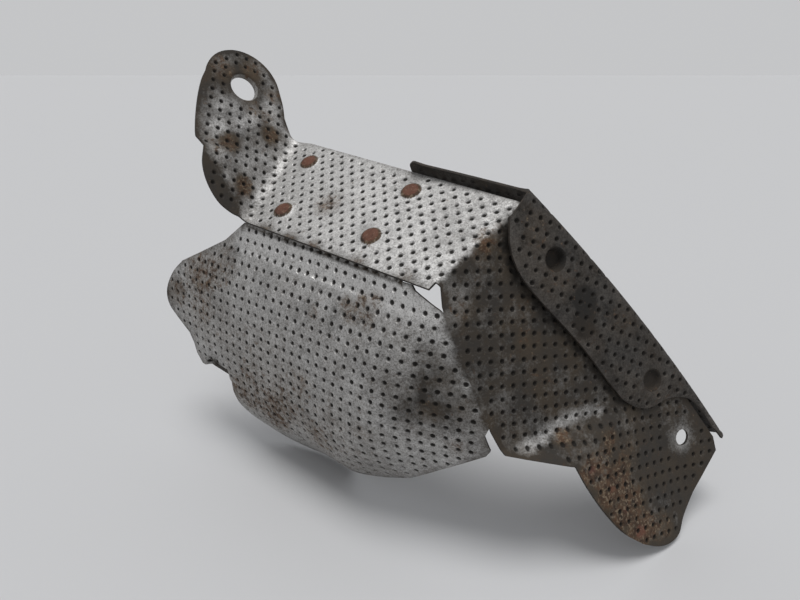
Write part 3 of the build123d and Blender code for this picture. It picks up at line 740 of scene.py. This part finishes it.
def thicken(bm, inner, name):
    """Backs the folded skin with its inner face, closes the cut edges and stands the sheet up.

    The inner face is offset square to the panel, so that the walls of the pierced holes are straight.
    """
    skin, cuts = bm.faces[:], [edge for edge in bm.edges if edge.is_boundary]
    layers = [bm.verts.layers.float[name] for name in paint_names]
    twin = {}
    for vert, place in inner.items():
        twin[vert] = add_vert(bm, place, *(vert[layer] for layer in layers))
    for face in skin:
        bm.faces.new([twin[vert] for vert in reversed(face.verts)])
    for edge in cuts:
        start = edge.link_loops[0].vert
        end = edge.other_vert(start)
        bm.faces.new((end, start, twin[start], twin[end])).material_index = 1
    bmesh.ops.transform(bm, matrix=Matrix.Translation(stand_at) @ stand.to_4x4(), verts=bm.verts)
    bmesh.ops.scale(bm, vec=(0.001, 0.001, 0.001), verts=bm.verts)
    # No edge stands past the box of the solids
    inset = 1e-5
    for vert in bm.verts:
        vert.co = [min(max(c, low + inset), high - inset) for c, low, high in zip(vert.co, *cad_box)]
    bm.normal_update()
    for face in bm.faces:
        face.smooth = True
    for edge in bm.edges:
        edge.smooth = edge.calc_face_angle(0.0) < radians(36)
    mesh = bpy.data.meshes.new(name)
    bm.to_mesh(mesh)
    bm.free()
    obj = bpy.data.objects.new(name, mesh)
    bpy.context.scene.collection.objects.link(obj)
    return obj


shield = thicken(shield_mesh, shield_inner, "perforated_shield")


def add_node(tree, kind, inputs=(), **settings):
    """New shader node, with plain values or links for its input sockets."""
    made = tree.nodes.new(kind)
    for name, value in settings.items():
        setattr(made, name, value)
    for socket, value in dict(inputs).items():
        if isinstance(value, bpy.types.NodeSocket):
            tree.links.new(value, made.inputs[socket])
        else:
            made.inputs[socket].default_value = value
    return made


def new_group(name, inputs, outputs):
    """Empty shader node group with the named sockets, and its two end nodes."""
    group = bpy.data.node_groups.new(name, "ShaderNodeTree")
    for socket, kind in inputs:
        group.interface.new_socket(socket, in_out="INPUT", socket_type=kind)
    for socket, kind in outputs:
        group.interface.new_socket(socket, in_out="OUTPUT", socket_type=kind)
    return group, group.nodes.new("NodeGroupInput"), group.nodes.new("NodeGroupOutput")


def cloud(tree, scale, detail, roughness=0.6):
    """Noise over the object, as a value from 0 to 1."""
    place = add_node(tree, "ShaderNodeTexCoord").outputs["Object"]
    sockets = {"Vector": place, "Scale": scale, "Detail": detail, "Roughness": roughness}
    return add_node(tree, "ShaderNodeTexNoise", sockets).outputs["Fac"]


def ramp(tree, value, low, high, to_low=0.0, to_high=1.0):
    sockets = {"Value": value, "From Min": low, "From Max": high, "To Min": to_low, "To Max": to_high}
    return add_node(tree, "ShaderNodeMapRange", sockets).outputs["Result"]


def sum_of(tree, a, b, operation="ADD"):
    made = add_node(tree, "ShaderNodeMath", {0: a, 1: b}, operation=operation)
    return made.outputs["Value"]


def tint(tree, share, a, b):
    """Colour a turning into colour b by a share."""
    made = add_node(tree, "ShaderNodeMix", data_type="RGBA")
    for socket, value in ((0, share), (6, a), (7, b)):
        if isinstance(value, bpy.types.NodeSocket):
            tree.links.new(value, made.inputs[socket])
        else:
            made.inputs[socket].default_value = value
    return made.outputs[2]


# Dirt film over bare coated steel, thicker in blotches and patches, with fine dark pits all over; its soot
# input also carries painted shade and painted highlights
film, film_in, film_out = new_group(
    "soot_and_shading_film",
    (
        ("Soot and shading", "NodeSocketFloat"), ("Clean", "NodeSocketColor"),
        ("Dirt and shade", "NodeSocketColor"), ("Earthy dirt and shade", "NodeSocketColor"),
    ),
    (("Color", "NodeSocketColor"), ("Share", "NodeSocketFloat"), ("Height", "NodeSocketFloat")),
)
soot_and_shading = film_in.outputs["Soot and shading"]
blotch = ramp(film, cloud(film, 110, 4, 0.6), 0.3, 0.7, -0.1, 0.1)
patch = ramp(film, cloud(film, 330, 4, 0.65), 0.32, 0.68, -1.0, 1.0)
patch = sum_of(film, patch, ramp(film, soot_and_shading, 0.45, 0.95, 0.16, 0.07), "MULTIPLY")
grain = ramp(film, cloud(film, 1100, 3, 0.75), 0.32, 0.68, -1.0, 1.0)
fine = sum_of(film, grain, ramp(film, soot_and_shading, 0.45, 0.95, 0.26, 0.07), "MULTIPLY")
share = ramp(film, sum_of(film, sum_of(film, soot_and_shading, sum_of(film, blotch, patch)), fine), 0.0, 1.0)
pits = ramp(film, cloud(film, 1900, 2, 0.6), 0.34, 0.47, 0.55, 0.0)
earth = ramp(film, cloud(film, 70, 5, 0.65), 0.4, 0.64)
dirt_and_shade_tone = tint(film, earth, film_in.outputs["Dirt and shade"], film_in.outputs["Earthy dirt and shade"])
coat = tint(film, share, film_in.outputs["Clean"], dirt_and_shade_tone)
coat = tint(film, pits, coat, film_in.outputs["Dirt and shade"])
film.links.new(coat, film_out.inputs["Color"])
film.links.new(share, film_out.inputs["Share"])
film.links.new(sum_of(film, grain, pits, "SUBTRACT"), film_out.inputs["Height"])

# Rust that stains the coat, breaks through in freckles and grows together, red where it is thickest
bloom, bloom_in, bloom_out = new_group(
    "rust_bloom",
    (("Rust", "NodeSocketFloat"), ("Color", "NodeSocketColor")),
    (("Color", "NodeSocketColor"), ("Share", "NodeSocketFloat")),
)
rust = bloom_in.outputs["Rust"]
freckle = ramp(bloom, cloud(bloom, 420, 5, 0.75), 0.32, 0.68, -0.55, 0.55)
grown = ramp(bloom, sum_of(bloom, rust, freckle), 0.3, 0.7, 0.0, 0.92)
tone = ramp(bloom, cloud(bloom, 230, 5, 0.7), 0.36, 0.66)
rust_colour = tint(bloom, tone, (0.022, 0.013, 0.009, 1), (0.118, 0.066, 0.038, 1))
ochre = ramp(bloom, cloud(bloom, 850, 3, 0.7), 0.52, 0.62, 0.0, 0.85)
rust_colour = tint(bloom, ochre, rust_colour, (0.235, 0.182, 0.125, 1))
red_share = ramp(bloom, rust, 1.0, 1.2, 0.0, 0.75)
red = sum_of(bloom, red_share, ramp(bloom, tone, 0.0, 1.0, 0.55, 1.0), "MULTIPLY")
rust_colour = tint(bloom, red, rust_colour, (0.17, 0.064, 0.043, 1))
stain_tone = ramp(bloom, tone, 0.0, 1.0, 0.4, 1.0)
stain = sum_of(bloom, ramp(bloom, rust, 0.0, 0.5, 0.0, 0.45), stain_tone, "MULTIPLY")
stained = tint(bloom, stain, bloom_in.outputs["Color"], (0.13, 0.088, 0.048, 1))
bloom.links.new(tint(bloom, grown, stained, rust_colour), bloom_out.inputs["Color"])
bloom.links.new(grown, bloom_out.inputs["Share"])

# Black in the pierced holes and beside the strip: grime, with painted shade of the holes' depth and painted
# shadow of the strip
clog_and_shade, clog_and_shade_in, clog_and_shade_out = new_group(
    "hole_grime_and_shade",
    (("Grime and shade", "NodeSocketFloat"), ("Color", "NodeSocketColor")),
    (("Color", "NodeSocketColor"), ("Share", "NodeSocketFloat")),
)
uneven = ramp(clog_and_shade, cloud(clog_and_shade, 300, 2), 0.3, 0.7, -0.15, 0.15)
black = ramp(clog_and_shade, sum_of(clog_and_shade, clog_and_shade_in.outputs["Grime and shade"], uneven), 0.42, 0.7, 0.0, 0.95)
grime_and_shade_colour = tint(clog_and_shade, black, clog_and_shade_in.outputs["Color"], (0.012, 0.010, 0.008, 1))
clog_and_shade.links.new(grime_and_shade_colour, clog_and_shade_out.inputs["Color"])
clog_and_shade.links.new(black, clog_and_shade_out.inputs["Share"])


def weathered_and_shaded(name, clean, dirty, earthy):
    """Coated steel sheet under soot and rust, with painted shade and painted highlights, driven by the
    piece's painted attributes.
    """
    material = bpy.data.materials.new(name)
    material.use_nodes = True
    tree = material.node_tree
    shader = tree.nodes["Principled BSDF"]
    shader.inputs["Specular IOR Level"].default_value = 0.25
    painted = lambda layer: add_node(tree, "ShaderNodeAttribute", attribute_name=layer).outputs["Fac"]
    coat = tree.nodes.new("ShaderNodeGroup")
    coat.node_tree = film
    tree.links.new(painted("soot_and_shading"), coat.inputs["Soot and shading"])
    coat.inputs["Clean"].default_value = clean
    coat.inputs["Dirt and shade"].default_value = dirty
    coat.inputs["Earthy dirt and shade"].default_value = earthy
    rusted = tree.nodes.new("ShaderNodeGroup")
    rusted.node_tree = bloom
    tree.links.new(painted("rust"), rusted.inputs["Rust"])
    tree.links.new(coat.outputs["Color"], rusted.inputs["Color"])
    holes = tree.nodes.new("ShaderNodeGroup")
    holes.node_tree = clog_and_shade
    tree.links.new(painted("grime_and_shade"), holes.inputs["Grime and shade"])
    tree.links.new(rusted.outputs["Color"], holes.inputs["Color"])
    tree.links.new(holes.outputs["Color"], shader.inputs["Base Color"])
    covered = sum_of(tree, coat.outputs["Share"], rusted.outputs["Share"], "MAXIMUM")
    covered = sum_of(tree, covered, holes.outputs["Share"], "MAXIMUM")
    tree.links.new(ramp(tree, covered, 0.0, 0.9, 0.75, 0.1), shader.inputs["Metallic"])
    tree.links.new(ramp(tree, covered, 0.0, 0.9, 0.42, 0.75), shader.inputs["Roughness"])
    relief = {"Height": coat.outputs["Height"], "Strength": 0.25, "Distance": 0.0004}
    bump = add_node(tree, "ShaderNodeBump", relief)
    tree.links.new(bump.outputs["Normal"], shader.inputs["Normal"])
    return material


bare, black_soot_and_shade, brown_soot_and_shade = (0.60, 0.59, 0.575, 1), (0.041, 0.036, 0.031, 1), (0.058, 0.045, 0.032, 1)
shield.data.materials.append(weathered_and_shaded("shield_steel", bare, black_soot_and_shade, brown_soot_and_shade))

# Cut edges of the sheet and the walls of its holes, blackened by heat
cut_edge = bpy.data.materials.new("cut_edge")
cut_edge.use_nodes = True
edge_shader = cut_edge.node_tree.nodes["Principled BSDF"]
edge_stain = ramp(cut_edge.node_tree, cloud(cut_edge.node_tree, 350, 4), 0.35, 0.7)
edge_colour = tint(cut_edge.node_tree, edge_stain, (0.012, 0.010, 0.008, 1), (0.055, 0.042, 0.031, 1))
cut_edge.node_tree.links.new(edge_colour, edge_shader.inputs["Base Color"])
edge_shader.inputs["Roughness"].default_value = 0.8
edge_shader.inputs["Metallic"].default_value = 0.1
shield.data.materials.append(cut_edge)
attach(shield, "root")
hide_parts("shield")

# Corner strip: a strip over the side panel and a web behind the top panel.
# A second pierced sheet, bent along one line round the rear corner and held to the side panel
# by two deep pressed pits.
web_y = 47.0
strip_top, strip_foot = -2.8, 133.4
strip_fall = 3.0 / (strip_foot - strip_top)
strip_rise = lambda down: 4.6 - strip_fall * (down - strip_top)
strip_edge = lambda down: ((web_y - side_down.y * down - side_out.y * strip_rise(down)) / fold.y, down)
edge_top = side_point(*strip_edge(strip_top), strip_rise(strip_top))
edge_end = side_point(*strip_edge(strip_foot), strip_rise(strip_foot))
edge_run = (edge_end - edge_top).normalized()
edge_length = (edge_end - edge_top).length
strip_out = (side_out + side_down * strip_fall).normalized()
strip_in = edge_run.cross(strip_out)
strip_in = strip_in if strip_in.dot(fold) < 0 else -strip_in
web_in = Vector((edge_run.z, 0, -edge_run.x))
web_out = Vector((0, 1, 0))
corner_bend = strip_out.angle(web_out)
corner_radius = 3.0
corner_tangent = corner_radius * tan(corner_bend / 2)
corner_arc = corner_radius * corner_bend
corner_half = corner_arc / 2
pits = ((41.9, 22.3), (47.0, 87.6))


def strip_blank(rear, down):
    """Place on the flat corner blank of a point of the strip: along the bend, and across it."""
    p = side_point(rear, down, strip_rise(down)) - edge_top
    return Vector((p.dot(edge_run), p.dot(strip_in) - corner_tangent + corner_half))


def web_blank(x, z):
    p = Vector((x, web_y, z)) - edge_top
    return Vector((p.dot(edge_run), -(p.dot(web_in) - corner_tangent + corner_half)))


def bow(along):
    """How far the bend is bowed out past the straight line between its ends."""
    return 4.2 * max(0.0, 1 - ((along / edge_length - 0.4) / 0.58) ** 2)


def wrap(p, lift):
    """Folded place of a point on the corner blank."""
    along, across = p
    on_edge = edge_top + edge_run * along
    shift = bow(along)
    turned = across + shift
    if turned > corner_half:
        return on_edge + strip_in * (across - corner_half + corner_tangent) + strip_out * lift
    on_edge -= strip_in * shift
    if turned < -corner_half:
        flat = on_edge + web_in * (-turned - corner_half + corner_tangent)
        return flat + web_out * (lift + 0.045 * max(0.0, edge_top.x - 6 - flat.x))
    angle = (turned + corner_half) / corner_arc * corner_bend
    across_out = (strip_out - web_out * cos(corner_bend)).normalized()
    normal = web_out * cos(angle) + across_out * sin(angle)
    centre = on_edge + strip_in * corner_tangent - strip_out * corner_radius
    return centre + normal * (corner_radius + lift)


strip_left = [(37.1, -0.5), (30.5, 7.8), (27.7, 18.0), (28.3, 30.0)]
strip_left += [(30.2, 45.0), (31.4, 58.0), (31.7, 72.0), (32.4, 83.8)]
strip_cut = [(32.4, 83.8), (35.0, 90.5), (38.9, 95.4), (43.2, 97.6), (48.5, 99.7)]
strip_cut += [(54.0, 104.3), (57.9, 110.3), (58.9, 117.6), (58.8, 127.0)]
strip_line = smooth_line(strip_left, 2.0)[:-1] + smooth_line(strip_cut, 2.0)
strip_outline = [strip_blank(*p) for p in strip_line]
lip_top = edge_top.z
lip_low = edge_top.z - 17.0
inner_end = edge_end + web_in * 14.0
inner_top = inner_end - edge_run * ((inner_end.z - lip_low) / edge_run.z)
lip_end = arc_line((-42.6, lip_low + 3), (-41.7, lip_low + 0.9), (-39.6, lip_low), 0.8)[::-1]
lip_end += arc_line((-39.6, lip_top), (-41.7, lip_top - 0.9), (-42.6, lip_top - 3), 0.8)[::-1]
web_loop = [web_blank(inner_end.x, inner_end.z), web_blank(inner_top.x, lip_low)]
web_loop += [web_blank(*p) for p in lip_end]
bend_foot = [Vector((edge_length, corner_half)), Vector((edge_length, -corner_half))]
bend_top = [Vector((0.0, -corner_half - bow(0))), Vector((0.0, corner_half - bow(0)))]
corner_outline = strip_outline[:-1] + dense([strip_outline[-1], *bend_foot, web_loop[0]], 1.2)[:-1]
corner_outline += dense(web_loop, 2.0)[:-1]
corner_outline += dense([web_loop[-1], *bend_top, strip_outline[0]], 1.2)[:-1]
corner_rows = []
for i in range(6):
    corner_rows += [Vector((1.5 * j, corner_half - corner_arc * i / 5 - bow(1.5 * j))) for j in range(92)]
for a, b in zip(strip_outline, strip_outline[1:]):
    inward = Vector((a.y - b.y, b.x - a.x)).normalized()
    corner_rows += [a.lerp(b, 0.5) + inward * depth for depth in (0.65, 1.3, 2.1)]
edge_angle = degrees(atan2(strip_foot - strip_top, strip_edge(strip_foot)[0] - strip_edge(strip_top)[0]))
strip_holes = rows_of_holes(strip_blank(-0.03, -1.87), edge_angle - 18.1, 4.44, 48)
# A pit's rings, as (radius, share of its depth)
pit_rings = ((4.7, 0.0), (4.2, 0.06), (3.85, 0.3), (3.5, 0.85), (3.0, 1.0), (1.6, 1.0))
pit_flat = [strip_blank(*spot) for spot in pits]
pit_depth = [strip_rise(spot[1]) - sheet for spot in pits]
plain = [(spot, 6.6) for spot in pit_flat]
features = []
for spot, depth in zip(pit_flat, pit_depth):
    sizes = [(radius, -share * depth) for radius, share in pit_rings]
    features.append((spot, sizes, False))
made, lifts, grime_and_shade_values, faces, source = pierce(corner_outline, strip_holes, plain, features, corner_rows)
strip_mesh = new_skin()
strip_soot = [(*strip_blank(*place), 6.0, 0.4) for place in ((42.4, 42.0), (36.6, 49.0))]
strip_rust = [(*strip_blank(*place), 9, 0.16) for place in ((50, 60), (42, 10), (44, 95), (36, 30))]
strip_inner = {}
strip_verts = []
for p, lift, grime_and_shade, at in zip(made, lifts, grime_and_shade_values, source):
    # Past the bend, the web behind the top panel is painted a little darker than the strip: painted shade
    soot_and_shading = (0.86 if p.y > -6 else 0.95) + soft_spots(strip_soot, p.x, p.y)
    near_edge = min((p - q).length for q in strip_outline)
    # The walls and floors of the deep pits are painted near-black: painted shade in the recess
    if lift < 0 and grime_and_shade == 0:
        soot_and_shading = 1.4
    # Along its edges the strip rolls down, and the roll is painted lighter: a painted highlight
    elif near_edge < 2.2:
        lift -= 1.0 * (1 - near_edge / 2.2) ** 2
        soot_and_shading -= 0.22 * (1 - abs(near_edge - 0.9) / 1.3)
    vert = add_vert(strip_mesh, wrap(p, lift), grime_and_shade, soot_and_shading, soft_spots(strip_rust, p.x, p.y))
    strip_inner[vert] = wrap(p, lift - sheet)
    strip_verts.append(vert)
for face in faces:
    strip_mesh.faces.new([strip_verts[i] for i in reversed(face)])
strip = thicken(strip_mesh, strip_inner, "perforated_strip")
bare, black_soot_and_shade, brown_soot_and_shade = (0.24, 0.22, 0.20, 1), (0.021, 0.019, 0.017, 1), (0.036, 0.028, 0.021, 1)
strip.data.materials.append(weathered_and_shaded("strip_steel", bare, black_soot_and_shade, brown_soot_and_shade))
strip.data.materials.append(cut_edge)
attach(strip, "root")
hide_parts("corner_strip")

# Studio: a plain pale floor under an even pale sky, with one soft lamp overhead.
# The camera stands where the photograph was taken from.
sweep = bmesh.new()
bmesh.ops.create_grid(sweep, x_segments=1, y_segments=1, size=3.0)
floor_mesh = bpy.data.meshes.new("floor")
sweep.to_mesh(floor_mesh)
sweep.free()
floor = bpy.data.objects.new("floor", floor_mesh)
bpy.context.scene.collection.objects.link(floor)
floor_paint = bpy.data.materials.new("floor_paint")
floor_paint.use_nodes = True
floor_paint.node_tree.nodes["Principled BSDF"].inputs["Base Color"].default_value = (0.585, 0.585, 0.59, 1)
floor.data.materials.append(floor_paint)

world = bpy.data.worlds.new("studio")
bpy.context.scene.world = world
world.use_nodes = True
sky = world.node_tree
lit = sky.nodes["Background"]
lit.inputs["Color"].default_value = (0.95, 0.97, 1.0, 1)
lit.inputs["Strength"].default_value = 0.45
seen = add_node(sky, "ShaderNodeBackground", {"Color": (0.555, 0.56, 0.57, 1)})
path = add_node(sky, "ShaderNodeLightPath")
direct = sum_of(sky, path.outputs["Is Camera Ray"], path.outputs["Is Glossy Ray"], "MAXIMUM")
direct = sum_of(sky, direct, path.outputs["Is Transmission Ray"], "MAXIMUM")
both = add_node(sky, "ShaderNodeMixShader", {0: direct, 1: lit.outputs[0], 2: seen.outputs[0]})
sky.links.new(both.outputs[0], sky.nodes["World Output"].inputs["Surface"])

lamp = bpy.data.lights.new("key", "SUN")
lamp.energy = 1.7
lamp.angle = radians(28)
key = bpy.data.objects.new("key", lamp)
key.rotation_euler = Vector((0.0, 0.06, -1.0)).to_track_quat("-Z", "Y").to_euler()
bpy.context.scene.collection.objects.link(key)

camera_lens = bpy.data.cameras.new("camera")
camera_lens.lens = 27.0
camera_lens.sensor_width = 36.0
camera_lens.clip_start = 0.005
camera = bpy.data.objects.new("camera", camera_lens)
camera.location = (-0.01122, -0.23366, 0.18408)
camera.rotation_euler = (radians(66.2), 0, 0)
bpy.context.scene.collection.objects.link(camera)
bpy.context.scene.camera = camera
bpy.context.scene.view_settings.view_transform = "Standard"
